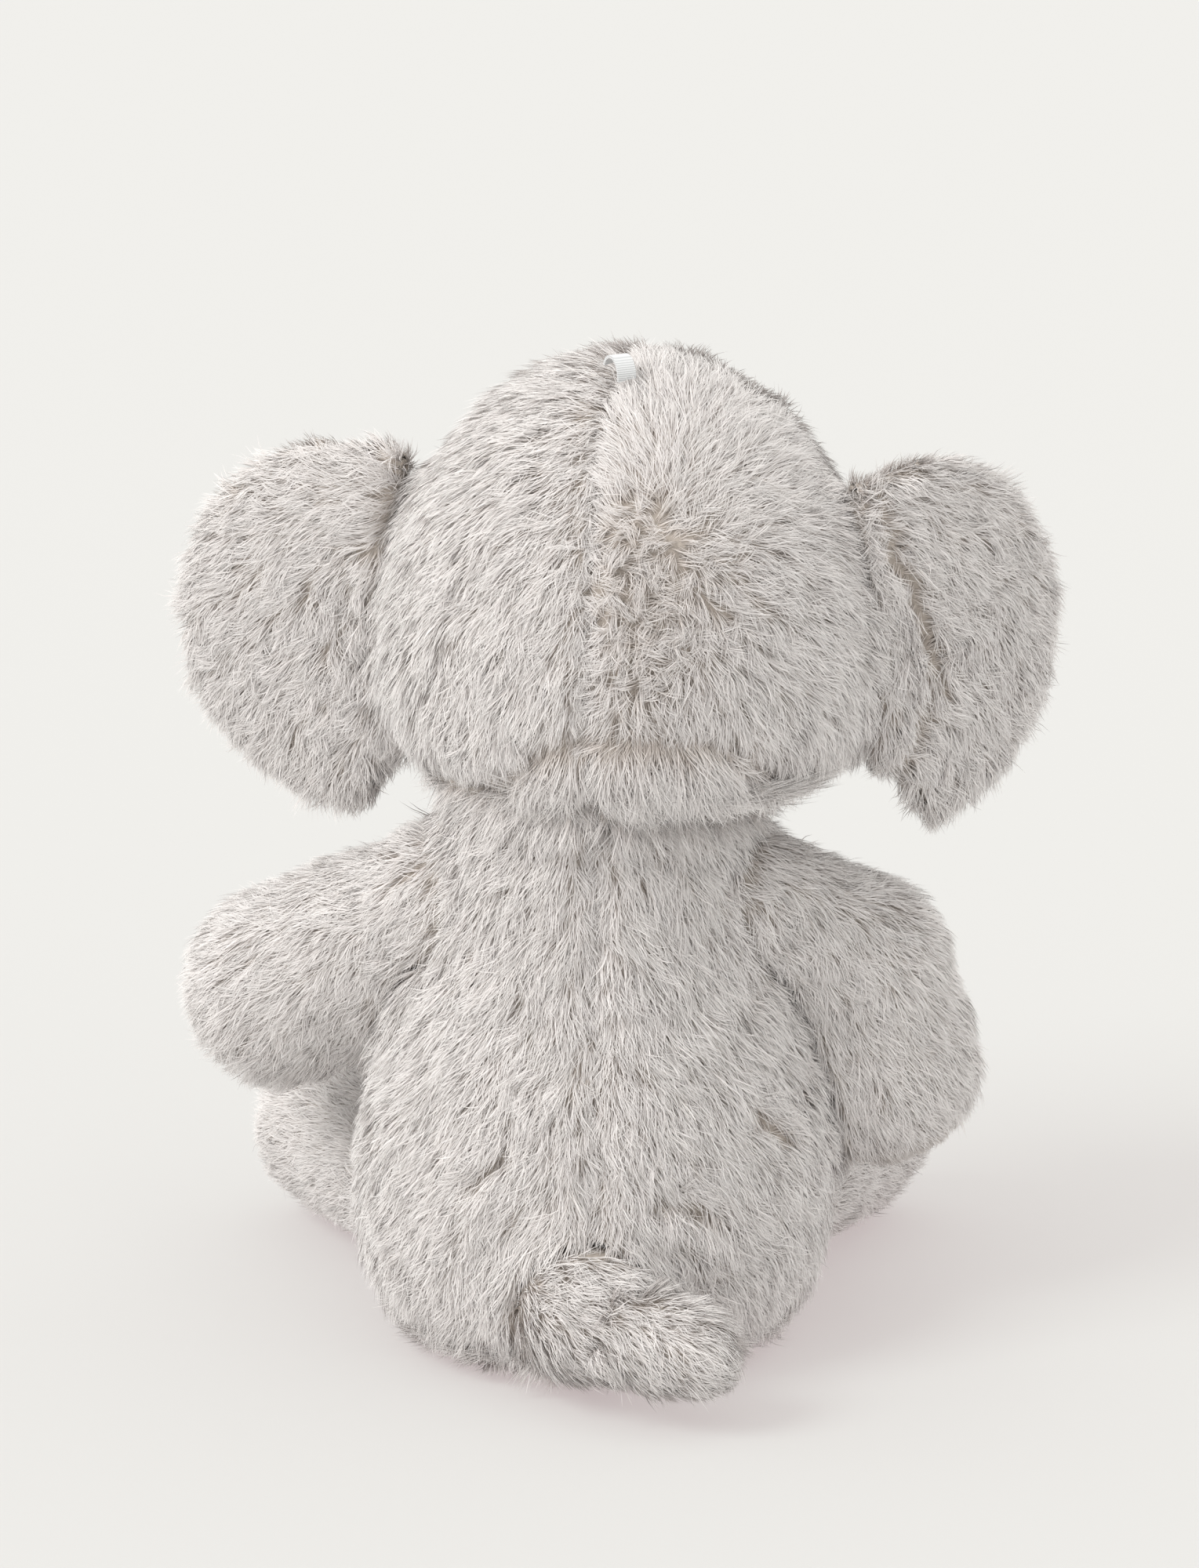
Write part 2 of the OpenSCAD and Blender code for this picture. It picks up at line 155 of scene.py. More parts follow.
# Colours, linear
ROOT_GREY = (0.66, 0.59, 0.54)
MIDDLE_GREY = (0.89, 0.855, 0.845)
TIP_GREY = (0.965, 0.94, 0.932)
CLOTH_GREY = (0.52, 0.46, 0.41)
PAD_GREY = (0.62, 0.575, 0.55)
PAD_TIP = (0.72, 0.68, 0.655)
PAD_ROOT = tuple(0.9 * c for c in ROOT_GREY)
EAR_TIP = (0.83, 0.79, 0.77)


# ---------------------------------------------------------------- small helpers

def unit(vectors):
    return vectors / np.maximum(np.linalg.norm(vectors, axis=-1, keepdims=True), 1e-12)


def smooth_step(low, high, value):
    t = np.clip((value - low) / (high - low), 0, 1)
    return t * t * (3 - 2 * t)


def across(vectors, normals):
    """The part of each vector that lies in the surface, as unit vectors."""
    return unit(vectors - normals * np.sum(vectors * normals, axis=1, keepdims=True))


def turned(vectors, axes, angles):
    """Each vector turned about its own unit axis."""
    c, s = np.cos(angles)[:, None], np.sin(angles)[:, None]
    along = np.sum(vectors * axes, axis=1, keepdims=True)
    return vectors * c + np.cross(axes, vectors) * s + axes * along * (1 - c)


def wave_noise(points, size, seed):
    """Smooth seeded noise, mostly from -1 to 1, with features about the given size."""
    rng = np.random.default_rng(seed)
    total = np.zeros(len(points))
    for _ in range(WAVES):
        direction = unit(rng.normal(size=3))
        pitch = 2 * math.pi / (size * rng.uniform(*WAVE_LENGTHS))
        total += np.sin(points @ direction * pitch + rng.uniform(0, 2 * math.pi))
    return total / (WAVES * WAVE_LEVEL)


def mesh_arrays(mesh):
    points = np.empty(len(mesh.vertices) * 3)
    mesh.vertices.foreach_get("co", points)
    mesh.calc_loop_triangles()
    triangles = np.empty(len(mesh.loop_triangles) * 3, np.int32)
    mesh.loop_triangles.foreach_get("vertices", triangles)
    return points.reshape(-1, 3), triangles.reshape(-1, 3)


def vertex_normals(points, triangles):
    a, b, c = (points[triangles[:, i]] for i in range(3))
    face = np.cross(b - a, c - a)
    normals = np.zeros_like(points)
    for i in range(3):
        np.add.at(normals, triangles[:, i], face)
    return unit(normals)


def node_tree(names):
    """A search tree over the surfaces of some CAD nodes."""
    points, triangles, start = [], [], 0
    for name in names:
        p, t = mesh_arrays(frame["nodes"][name].data)
        points.append(p)
        triangles.append(t + start)
        start += len(p)
    points, triangles = np.vstack(points), np.vstack(triangles)
    return bvhtree.BVHTree.FromPolygons(points.tolist(), triangles.tolist())


def distances(tree, points, reach=1.0):
    found = np.full(len(points), reach)
    for i, p in enumerate(points):
        hit = tree.find_nearest(Vector(p), reach)
        if hit[3] is not None:
            found[i] = hit[3]
    return found


# ---------------------------------------------------------------- materials

def principled(name):
    material = bpy.data.materials.new(name)
    material.use_nodes = True
    nodes = material.node_tree.nodes
    return material, nodes, material.node_tree.links, nodes["Principled BSDF"]


def ramp(nodes, stops):
    node = nodes.new("ShaderNodeValToRGB")
    elements = node.color_ramp.elements
    while len(elements) < len(stops):
        elements.new(0.5)
    for element, (position, colour) in zip(elements, stops):
        element.position = position
        element.color = (*colour, 1)
    return node


def pile_material(name, root, middle, tip):
    """Fibres dark at the root and light at the tip, each with its own shade."""
    material, nodes, links, shader = principled(name)
    shader.inputs["Roughness"].default_value = 0.72
    shader.inputs["Specular IOR Level"].default_value = 0.25
    shader.inputs["Sheen Weight"].default_value = 0.18
    shader.inputs["Sheen Roughness"].default_value = 0.5
    place = nodes.new("ShaderNodeUVMap")
    place.uv_map = STRAND_UV
    split = nodes.new("ShaderNodeSeparateXYZ")
    links.new(place.outputs["UV"], split.inputs[0])
    along = ramp(nodes, [(0.0, root), (0.42, middle), (1.0, tip)])
    links.new(split.outputs["Y"], along.inputs[0])
    shade = nodes.new("ShaderNodeTexNoise")
    shade.noise_dimensions = "1D"
    shade.inputs["Scale"].default_value = 90
    shade.inputs["Detail"].default_value = 1
    links.new(split.outputs["X"], shade.inputs["W"])
    level = ramp(nodes, [(0.3, (0.90, 0.89, 0.88)), (0.7, (1.0, 1.0, 1.0))])
    links.new(shade.outputs[0], level.inputs[0])
    mix = nodes.new("ShaderNodeMix")
    mix.data_type = "RGBA"
    mix.blend_type = "MULTIPLY"
    mix.inputs["Factor"].default_value = 1
    links.new(along.outputs[0], mix.inputs["A"])
    links.new(level.outputs[0], mix.inputs["B"])
    links.new(mix.outputs["Result"], shader.inputs["Base Color"])
    return material


def cloth_material(name, colour, stitch=1.1 * MM):
    """The knitted backing that the pile grows from."""
    material, nodes, links, shader = principled(name)
    shader.inputs["Roughness"].default_value = 0.9
    shader.inputs["Sheen Weight"].default_value = 0.2
    place = nodes.new("ShaderNodeTexCoord")
    knit = nodes.new("ShaderNodeTexVoronoi")
    knit.inputs["Scale"].default_value = 1 / stitch
    links.new(place.outputs["Object"], knit.inputs["Vector"])
    dark = tuple(0.78 * c for c in colour)
    tone = ramp(nodes, [(0.1, colour), (0.8, dark)])
    links.new(knit.outputs["Distance"], tone.inputs[0])
    links.new(tone.outputs[0], shader.inputs["Base Color"])
    bump = nodes.new("ShaderNodeBump")
    bump.inputs["Distance"].default_value = 0.2 * MM
    bump.inputs["Strength"].default_value = 0.5
    links.new(knit.outputs["Distance"], bump.inputs["Height"])
    links.new(bump.outputs[0], shader.inputs["Normal"])
    return material


def stuffing_material():
    """Matted white polyester fibre."""
    material, nodes, links, shader = principled("stuffing_fibre")
    shader.inputs["Roughness"].default_value = 0.95
    place = nodes.new("ShaderNodeTexCoord")
    fibre = nodes.new("ShaderNodeTexNoise")
    fibre.inputs["Scale"].default_value = 140
    fibre.inputs["Detail"].default_value = 6
    fibre.inputs["Distortion"].default_value = 1.5
    links.new(place.outputs["Object"], fibre.inputs["Vector"])
    tone = ramp(nodes, [(0.3, (0.70, 0.70, 0.69)), (0.7, (0.90, 0.90, 0.89))])
    links.new(fibre.outputs[0], tone.inputs[0])
    links.new(tone.outputs[0], shader.inputs["Base Color"])
    return material


def plastic_material(name, colour, roughness, coat=0.0):
    """Moulded plastic with a faint surface unevenness."""
    material, nodes, links, shader = principled(name)
    shader.inputs["Roughness"].default_value = roughness
    shader.inputs["Coat Weight"].default_value = coat
    shader.inputs["Coat Roughness"].default_value = 0.05
    place = nodes.new("ShaderNodeTexCoord")
    mottle = nodes.new("ShaderNodeTexNoise")
    mottle.inputs["Scale"].default_value = 300
    links.new(place.outputs["Object"], mottle.inputs["Vector"])
    tone = ramp(nodes, [(0.3, colour), (0.7, tuple(min(1, c * 1.3 + 0.004) for c in colour))])
    links.new(mottle.outputs[0], tone.inputs[0])
    links.new(tone.outputs[0], shader.inputs["Base Color"])
    return material


def ribbon_material():
    """White woven tape with a fine cross weave."""
    material, nodes, links, shader = principled("woven_tape")
    shader.inputs["Roughness"].default_value = 0.6
    shader.inputs["Sheen Weight"].default_value = 0.3
    place = nodes.new("ShaderNodeTexCoord")
    weave = nodes.new("ShaderNodeTexWave")
    weave.inputs["Scale"].default_value = 600
    weave.inputs["Distortion"].default_value = 0.4
    weave.bands_direction = "Z"
    links.new(place.outputs["Object"], weave.inputs["Vector"])
    tone = ramp(nodes, [(0.2, (0.60, 0.61, 0.62)), (0.8, (0.76, 0.77, 0.78))])
    links.new(weave.outputs[0], tone.inputs[0])
    links.new(tone.outputs[0], shader.inputs["Base Color"])
    bump = nodes.new("ShaderNodeBump")
    bump.inputs["Distance"].default_value = 0.1 * MM
    links.new(weave.outputs[0], bump.inputs["Height"])
    links.new(bump.outputs[0], shader.inputs["Normal"])
    return material


# ---------------------------------------------------------------- skins

def largest_island(points, faces):
    """Only the faces of the largest connected surface, with its points renumbered."""
    label = np.arange(len(points))
    ends = [(faces[:, i], faces[:, (i + 1) % 4]) for i in range(4)]
    while True:
        before = label.copy()
        for a, b in ends:
            low = np.minimum(label[a], label[b])
            np.minimum.at(label, a, low)
            np.minimum.at(label, b, low)
        label = label[label]
        if np.array_equal(before, label):
            break
    spans = {}
    for name in np.unique(label):
        own = points[label == name]
        spans[name] = np.prod(own.max(0) - own.min(0))
    keep = label == max(spans, key=spans.get)
    number = np.cumsum(keep) - 1
    return points[keep], number[faces[keep[faces[:, 0]]]]


def remeshed(nodes, voxel):
    """The outer surface of some CAD nodes together, as points and even quads."""
    joined = bmesh.new()
    for node in nodes:
        joined.from_mesh(frame["nodes"][node].data)
    mesh = bpy.data.meshes.new("joined")
    joined.to_mesh(mesh)
    joined.free()
    source = bpy.data.objects.new("joined", mesh)
    bpy.context.scene.collection.objects.link(source)
    modifier = source.modifiers.new("even", "REMESH")
    modifier.mode = "VOXEL"
    modifier.voxel_size = voxel
    bpy.context.view_layer.update()
    made = bpy.data.meshes.new_from_object(source.evaluated_get(bpy.context.evaluated_depsgraph_get()))
    points = np.empty(len(made.vertices) * 3)
    made.vertices.foreach_get("co", points)
    faces = np.empty(len(made.loops), np.int32)
    made.loops.foreach_get("vertex_index", faces)
    points, faces = points.reshape(-1, 3), faces.reshape(-1, 4)
    bpy.data.objects.remove(source)
    bpy.data.meshes.remove(mesh)
    bpy.data.meshes.remove(made)
    return largest_island(points, faces)


def halves(faces):
    """Each quad as two triangles."""
    return np.vstack([faces[:, [0, 1, 2]], faces[:, [0, 2, 3]]])


def relaxed(points, faces, rounds, share=0.5):
    for _ in range(rounds):
        total = np.zeros_like(points)
        count = np.zeros(len(points))
        for i in range(4):
            a, b = faces[:, i], faces[:, (i + 1) % 4]
            np.add.at(total, a, points[b])
            np.add.at(total, b, points[a])
            np.add.at(count, a, 1)
            np.add.at(count, b, 1)
        points = points + share * (total / count[:, None] - points)
    return points


class Skin:
    """One body's sewn skin: points, quads, the panel of each quad and how far the pile may stand."""

    def __init__(self, body, panels, filling, inset, groove_depth):
        self.body = body
        self.panels = panels
        points, faces = remeshed(panels + [filling], VOXEL)
        centres = points[faces].mean(axis=1)
        gaps = [distances(node_tree([panel]), centres) for panel in panels]
        self.panel_of = np.argmin(gaps, axis=0)
        others = [n for b, ns in COVERS.items() if b != body for n in ns]
        self.room = distances(node_tree(others), points)
        border = self.border_points(points, faces)
        self.seam_gap = distances_to_points(border, points)
        step = inset / INSET_ROUNDS * smooth_step(0, TIGHT_REACH, self.room)[:, None]
        for _ in range(INSET_ROUNDS):
            points = relaxed(points, faces, 1)
            points = points - vertex_normals(points, halves(faces)) * step
        groove = groove_depth * (1 - smooth_step(0, SEAM_REACH, self.seam_gap))
        points = points - vertex_normals(points, halves(faces)) * groove[:, None]
        for crease in CREASES.get(body, ()):
            normals = vertex_normals(points, halves(faces))
            points = points - normals * (CREASE_DEPTH * crease.near(points, normals))[:, None]
        points = points - vertex_normals(points, halves(faces)) * (FOLD_DEPTH * fold(body, points))[:, None]
        points = lifted_clear(node_tree([filling]), points)
        self.points = points
        self.faces = faces
        self.normals = vertex_normals(points, halves(faces))

    def border_points(self, points, faces):
        """The points that quads of two panels share."""
        low = np.full(len(points), len(self.panels))
        high = np.full(len(points), -1)
        for i in range(4):
            np.minimum.at(low, faces[:, i], self.panel_of)
            np.maximum.at(high, faces[:, i], self.panel_of)
        return points[low != high]


def lifted_clear(filling, points):
    """Points that would sink into the filling, put back outside it."""
    kept = points.copy()
    for i, point in enumerate(points):
        place, normal, _, _ = filling.find_nearest(Vector(point), FILLING_REACH)
        if place is not None and (Vector(point) - place).dot(normal) < FILLING_ROOM:
            kept[i] = place + normal * FILLING_ROOM
    return kept


def point_tree(points):
    tree = kdtree.KDTree(len(points))
    for i, point in enumerate(points):
        tree.insert(point, i)
    tree.balance()
    return tree


def distances_to_points(targets, points, far=1.0):
    if len(targets) == 0:
        return np.full(len(points), far)
    tree = point_tree(targets)
    return np.array([tree.find(point)[2] for point in points])


def above_nape(points):
    """How far each point lies above the arched fold across the back of the head."""
    aside = np.abs(points[:, 0] - NAPE_X)
    return points[:, 2] - NAPE_TOP + NAPE_DROP * smooth_step(NAPE_FLAT, NAPE_REACH, aside)


def behind(points):
    """1 on the back of the head, 0 on its front."""
    return smooth_step(BACK_FROM, BACK_FULL, points[:, 1])


def fold(body, points):
    """1 along the arched fold where the head meets the nape, falling to 0 beside it."""
    if body != "head":
        return np.zeros(len(points))
    ends = 1 - smooth_step(NAPE_REACH, NAPE_END, np.abs(points[:, 0] - NAPE_X))
    return np.exp(-(above_nape(points) / FOLD_WIDTH) ** 2) * behind(points) * ends


def on_nape(body, points):
    """1 below the fold, where the pile lies as it does on the torso."""
    if body != "head":
        return np.zeros(len(points))
    return smooth_step(0, NAPE_BLEND, -above_nape(points)) * behind(points)


class Crease:
    """A fold line across the back of a piece, given as shares of a CAD node's box in X and Z."""

    def __init__(self, node, shares):
        low, high = (np.array(corner)[[0, 2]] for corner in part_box(node))
        self.line = np.array([low + (high - low) * share for share in shares])

    def offsets(self, points):
        """From the nearest spot of the line to each point, seen from behind."""
        seen = points[:, [0, 2]]
        best = np.full((len(points), 2), 1.0)
        for a, b in zip(self.line, self.line[1:]):
            along = np.clip((seen - a) @ (b - a) / np.sum((b - a) ** 2), 0, 1)
            offset = seen - a - along[:, None] * (b - a)
            closer = np.linalg.norm(offset, axis=1) < np.linalg.norm(best, axis=1)
            best[closer] = offset[closer]
        return best

    def near(self, points, normals):
        """1 on the line, falling to 0 beside it and on the front."""
        gap = np.linalg.norm(self.offsets(points), axis=1)
        return np.exp(-(gap / CREASE_WIDTH) ** 2) * smooth_step(0, CREASE_SLOPE, normals[:, 1])


def show(name, mesh, material, body, slot, replaced=()):
    piece = bpy.data.objects.new(name, mesh)
    bpy.context.scene.collection.objects.link(piece)
    mesh.materials.append(material)
    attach(piece, body)
    if replaced:
        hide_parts(*replaced)
    return piece


def cloth_piece(skin, index, material, slot):
    """One panel of the skin as a closed shell of cloth."""
    panel = skin.panels[index]
    faces = skin.faces[skin.panel_of == index]
    used = np.unique(faces)
    number = np.full(len(skin.points), -1)
    number[used] = np.arange(len(used))
    outer = skin.points[used]
    inner = outer - skin.normals[used] * CLOTH_THICKNESS
    quads = number[faces]
    count = len(used)
    edges = {}
    for quad in quads:
        for a, b in zip(quad, np.roll(quad, -1)):
            edges[(a, b)] = edges.get((a, b), 0) + 1
    rim = [(a, b) for a, b in edges if (b, a) not in edges]
    sides = [(b, a, a + count, b + count) for a, b in rim]
    mesh = bpy.data.meshes.new(panel + "_cloth")
    mesh.from_pydata(
        np.vstack([outer, inner]).tolist(),
        [],
        quads.tolist() + (quads[:, ::-1] + count).tolist() + sides,
    )
    mesh.polygons.foreach_set("use_smooth", [True] * len(mesh.polygons))
    piece = show(panel + "_cloth", mesh, material, skin.body, slot, [panel])


def filling_piece(skin, filling, material):
    """The stuffing of a piece, moulded to the inside of its sewn skin."""
    inside = skin.points - skin.normals * (CLOTH_THICKNESS + FILLING_GAP)
    inside = relaxed(inside, skin.faces, FILLING_ROUNDS)
    mesh = bpy.data.meshes.new(filling + "_moulded")
    mesh.from_pydata(inside.tolist(), [], skin.faces.tolist())
    mesh.polygons.foreach_set("use_smooth", [True] * len(mesh.polygons))
    piece = show(filling + "_moulded", mesh, material, skin.body, "stuffing", [filling])


# ---------------------------------------------------------------- pile

def sampled(skin, index, density, rng):
    """Fibre roots spread evenly by area over one panel, with their normals and distances to its seam."""
    faces = halves(skin.faces[skin.panel_of == index])
    corners = skin.points[faces]
    first, second = corners[:, 1] - corners[:, 0], corners[:, 2] - corners[:, 0]
    area = np.linalg.norm(np.cross(first, second), axis=1) / 2
    count = int(area.sum() / MM ** 2 * density)
    chosen = rng.choice(len(faces), size=count, p=area / area.sum())
    a, b = rng.random(count), rng.random(count)
    flip = a + b > 1
    a[flip], b[flip] = 1 - a[flip], 1 - b[flip]
    weights = np.stack([1 - a - b, a, b], axis=1)[:, :, None]
    picked = faces[chosen]
    roots = (skin.points[picked] * weights).sum(axis=1)
    normals = unit((skin.normals[picked] * weights).sum(axis=1))
    room = (skin.room[picked] * weights[:, :, 0]).sum(axis=1)
    seam = (skin.seam_gap[picked] * weights[:, :, 0]).sum(axis=1)
    open_air = room > BARE_DISTANCE
    return roots[open_air], normals[open_air], seam[open_air]


def fibre_lines(roots, normals, combed, length, lift, bend):
    """Each fibre's four points, from its root to its tip."""
    steps = RINGS - 1
    lines = [roots]
    for i in range(steps):
        t = (i + 0.5) / steps
        heading = turned(combed, normals, bend * t)
        rise = lift * (1 - FIBRE_DROOP * t)
        step = heading * np.cos(rise)[:, None] + normals * np.sin(rise)[:, None]
        lines.append(lines[-1] + step * (length / steps)[:, None])
    return np.stack(lines, axis=1)


def clump_lines(skin, where, upright, comb, style, seed, rng):
    """How each clump lies: its combed direction, its lift, length and bend."""
    count = len(where)
    rough = roughness(where)
    nape = on_nape(skin.body, where)
    tuft = style["tuft"] * MM
    stray = rng.normal(0, style["stray"], count) * (1 + ROUGH_STRAY * rough)
    sway = wave_noise(where, tuft, seed + 1) * style["sway"] + stray
    heading = unit(comb(where, upright))
    for crease in CREASES.get(skin.body, ()):
        pushed = CREASE_COMB * crease.near(where, upright)
        heading[:, [0, 2]] += unit(crease.offsets(where)) * pushed[:, None]
    combed = turned(across(heading, upright), upright, sway)

    lift_spread = rng.normal(0, CLUMP_LIFT_SPREAD, count) * (1 + ROUGH_LIFT_SPREAD * rough)
    lift_share = 1 + TUFT_LIFT * wave_noise(where, tuft, seed + 2) + lift_spread + ROUGH_LIFT * rough
    lift = np.clip(np.radians(style["lift"]) * lift_share * (1 - NAPE_LIFT * nape), *CLUMP_LIFTS)

    length_spread = rng.normal(0, CLUMP_LENGTH_SPREAD, count)
    length_share = 1 + TUFT_LENGTH * wave_noise(where, tuft * LENGTH_TUFT, seed + 3) + length_spread
    length_share += NAPE_LENGTH * nape - ROUGH_LENGTH * rough
    bend = rng.normal(0, CLUMP_BEND_SPREAD, count) * (1 + rough)
    return combed, lift, style["length"] * MM * length_share, bend


def hollow_near(skin, roots, normals):
    """1 in a fold of the skin, falling to 0 beside it, and less in a crease."""
    hollow = fold(skin.body, roots)
    for crease in CREASES.get(skin.body, ()):
        hollow = np.maximum(hollow, CREASE_SHARE * crease.near(roots, normals))
    return hollow


def pile_piece(skin, index, comb, style, material, slot, seed):
    """The pile of one panel: tapered fibres, combed, gathered in clumps and tufts."""
    rng = np.random.default_rng(SEED + seed)
    roots, normals, seam = sampled(skin, index, style["density"] * FIBRES_PER_MM2, rng)
    count = len(roots)
    centres = rng.choice(count, size=max(1, count // FIBRES_PER_CLUMP), replace=False)
    where, upright = roots[centres], normals[centres]
    tree = point_tree(where)
    clump = np.array([tree.find(root)[1] for root in roots])
    combed, lift, length, bend = clump_lines(skin, where, upright, comb, style, seed, rng)
    spine = fibre_lines(where, upright, combed, length, lift, bend)[clump]

    own_turn = rng.normal(0, FIBRE_HEADING_SPREAD, count)
    own_comb = turned(across(combed[clump], normals), normals, own_turn)
    own_lift = np.clip(lift[clump] + rng.normal(0, FIBRE_LIFT_SPREAD, count), *FIBRE_LIFTS)
    hollow = hollow_near(skin, roots, normals)
    part = 1 - style["parting"] * (1 - smooth_step(0, PARTING_REACH, seam))
    part = part * (1 - HOLLOW_LENGTH * hollow)
    own_length = length[clump] * part * rng.uniform(*FIBRE_LENGTHS, count)
    own_bend = bend[clump] + rng.normal(0, FIBRE_BEND_SPREAD, count)
    lines = fibre_lines(roots, normals, own_comb, own_length, own_lift, own_bend)

    gather = GATHER * rng.uniform(0, 1, count) ** GATHER_POWER * style["gather"]
    for i in range(1, RINGS):
        pull = gather * (i / (RINGS - 1)) ** PULL_POWER
        lines[:, i] += (spine[:, i] - lines[:, i]) * pull[:, None]
    lines[:, :, 2] = np.maximum(lines[:, :, 2], FLOOR_REST)
    # Painted shade: in folds, creases and partings each fibre's colour stops short of its light tip; in
    # rubbed-up patches this stands partly for roots showing, partly for shade
    painted_shade_reach = 1 - HOLLOW_PAINTED_SHADE * hollow - ROUGH_ROOTS_AND_PAINTED_SHADE * roughness(where)[clump]
    mesh = fibre_mesh(skin.panels[index] + "_pile", lines, normals, painted_shade_reach, style["width"], rng)
    show(mesh.name, mesh, material, skin.body, slot)


def fibre_mesh(name, lines, normals, painted_shade_reach, width, rng):
    """Flat fibres along the given lines, each with its own shade, its colour kept short of the light tip
    where shade is painted, and a soft shading normal.
    """
    count = len(lines)
    along = unit(lines[:, -1] - lines[:, 0])
    roll = rng.uniform(-FIBRE_ROLL, FIBRE_ROLL, count)
    side = turned(unit(np.cross(normals, along)), along, roll)
    half = FIBRE_WIDTH * QUICK_WIDENING * width / 2 * rng.uniform(*FIBRE_WIDTHS, count)
    points = np.empty((count, 2 * RINGS - 1, 3), np.float32)
    for i in range(RINGS - 1):
        offset = side * (half * FIBRE_TAPER[i])[:, None]
        points[:, 2 * i] = lines[:, i] - offset
        points[:, 2 * i + 1] = lines[:, i] + offset
    points[:, -1] = lines[:, -1]
    pattern = []
    for i in range(RINGS - 2):
        a, b, c, d = 2 * i, 2 * i + 1, 2 * i + 2, 2 * i + 3
        pattern += [a, c, d, a, d, b]
    last = 2 * (RINGS - 2)
    pattern += [last, last + 2, last + 1]
    pattern = np.array(pattern, np.int32)
    per_fibre = 2 * RINGS - 1
    corners = (np.arange(count, dtype=np.int32)[:, None] * per_fibre + pattern).ravel()

    mesh = bpy.data.meshes.new(name)
    mesh.vertices.add(count * per_fibre)
    mesh.vertices.foreach_set("co", points.ravel())
    mesh.loops.add(len(corners))
    mesh.loops.foreach_set("vertex_index", corners)
    mesh.polygons.add(len(corners) // 3)
    mesh.polygons.foreach_set("loop_start", np.arange(0, len(corners), 3, dtype=np.int32))
    mesh.update(calc_edges=True)

    place = np.empty((count, per_fibre, 2), np.float32)
    column = rng.uniform(*SHADE_COLUMNS, count)
    for i in range(per_fibre):
        place[:, i, 0] = column + (COLUMN_HALF if i % 2 else -COLUMN_HALF)
        # v runs from the root towards the tip and ends lower where shade is painted
        place[:, i, 1] = painted_shade_reach * min(i // 2, RINGS - 1) / (RINGS - 1)
    uv = mesh.uv_layers.new(name=STRAND_UV)
    uv.uv.foreach_set("vector", place.reshape(-1, 2)[corners].ravel())

    shading = unit(normals + rng.normal(0, FIBRE_NORMAL_SPREAD, (count, 3)))
    each = np.repeat(shading[:, None, :], per_fibre, axis=1).astype(np.float32)
    free = mesh.attributes.new("custom_normal", "FLOAT_VECTOR", "POINT")
    free.data.foreach_set("vector", each.ravel())
    return mesh


# ---------------------------------------------------------------- flow of the pile

# On the torso: how far the pile turns aside at the centre seam and towards the flanks, and how steeply
# the underside has to slope before the pile lies outward there
SEAM_ASIDE = 0.25
SEAM_ASIDE_REACH = 0.008
FLANK_ASIDE = 0.75
FLANK = (0.01, 0.07)
SEAT_SLOPE = (0.5, 0.95)

# On the left of the head: how far it turns aside at the cheek, and how much more on the dome
CHEEK_ASIDE = 0.3
DOME_ASIDE = 0.8
DOME = (0.20, 0.262)

# The whorl of the right back panel, which the pile lies away from, and the bridge of the trunk
WHORL = np.array([-0.021, 0.05, 0.228])
BRIDGE = np.array([-0.022, -0.07, 0.215])
WHORL_SPREAD = np.array([1, 0.3, 1])
BRIDGE_SPREAD = np.array([1, 0.6, 1])

# Rubbed-up pile: a patch around the whorl and a strip just right of the head's seam
PATCH = WHORL + np.array([-0.004, 0.01, -0.006])
PATCH_REACH = 0.022
STRIP_X = -0.012
STRIP_REACH = 0.009
STRIP_BACK = (0, 0.02)
STRIP_BOTTOM = (0.178, 0.192)
STRIP_TOP = (0.232, 0.248)
STRIP_SHARE = 0.7

# How strongly the pile hangs down, as a share of its own direction
HEAD_DROP = 0.25
FACE_DROP = 0.45
EAR_DROP = 0.3
LIMB_DROP = 0.3

# An ear's pile fans out from a spot inside the head, given as shares of the ear's box
FAN_SHARE = {"left": (-0.3, 0.85), "right": (1.3, 0.85)}


def flow_torso(points, normals):
    """Down and away from the centre seam, more so towards the flanks, and outward under the seat."""
    gap = np.abs(points[:, 0])
    aside = SEAM_ASIDE * smooth_step(0, SEAM_ASIDE_REACH, gap) + FLANK_ASIDE * smooth_step(*FLANK, gap)
    flow = np.zeros_like(points)
    flow[:, 0] = np.sign(points[:, 0]) * aside
    flow[:, 2] = -1
    under = smooth_step(*SEAT_SLOPE, -normals[:, 2])[:, None]
    return flow * (1 - under) + unit(points * [1, 1, 0]) * under


def roughness(points):
    """1 where the pile has been rubbed up, falling to 0 around it."""
    patch = np.exp(-(np.linalg.norm(points - PATCH, axis=1) / PATCH_REACH) ** 2)
    strip = np.exp(-((points[:, 0] - STRIP_X) / STRIP_REACH) ** 2) * smooth_step(*STRIP_BACK, points[:, 1])
    strip *= smooth_step(*STRIP_BOTTOM, points[:, 2]) * (1 - smooth_step(*STRIP_TOP, points[:, 2]))
    return np.clip(patch + STRIP_SHARE * strip, 0, 1)


def below_fold(points, normals, flow):
    """The head's own flow above the fold, and the torso's below it."""
    share = on_nape("head", points)[:, None]
    return unit(flow) * (1 - share) + unit(flow_torso(points, normals)) * share


def flow_head_left(points, normals):
    """Away from the centre seam over the dome, and straight down at the cheek."""
    flow = np.zeros_like(points)
    flow[:, 0] = CHEEK_ASIDE + DOME_ASIDE * smooth_step(*DOME, points[:, 2])
    flow[:, 2] = -1
    return below_fold(points, normals, flow)


def flow_head_right(points, normals):
    """Out of the whorl on all sides, and down."""
    away = unit((points - WHORL) * WHORL_SPREAD)
    return below_fold(points, normals, away - UP * HEAD_DROP)


def flow_face(points, normals):
    """Away from the bridge of the trunk, and down."""
    return unit((points - BRIDGE) * BRIDGE_SPREAD) - UP * FACE_DROP


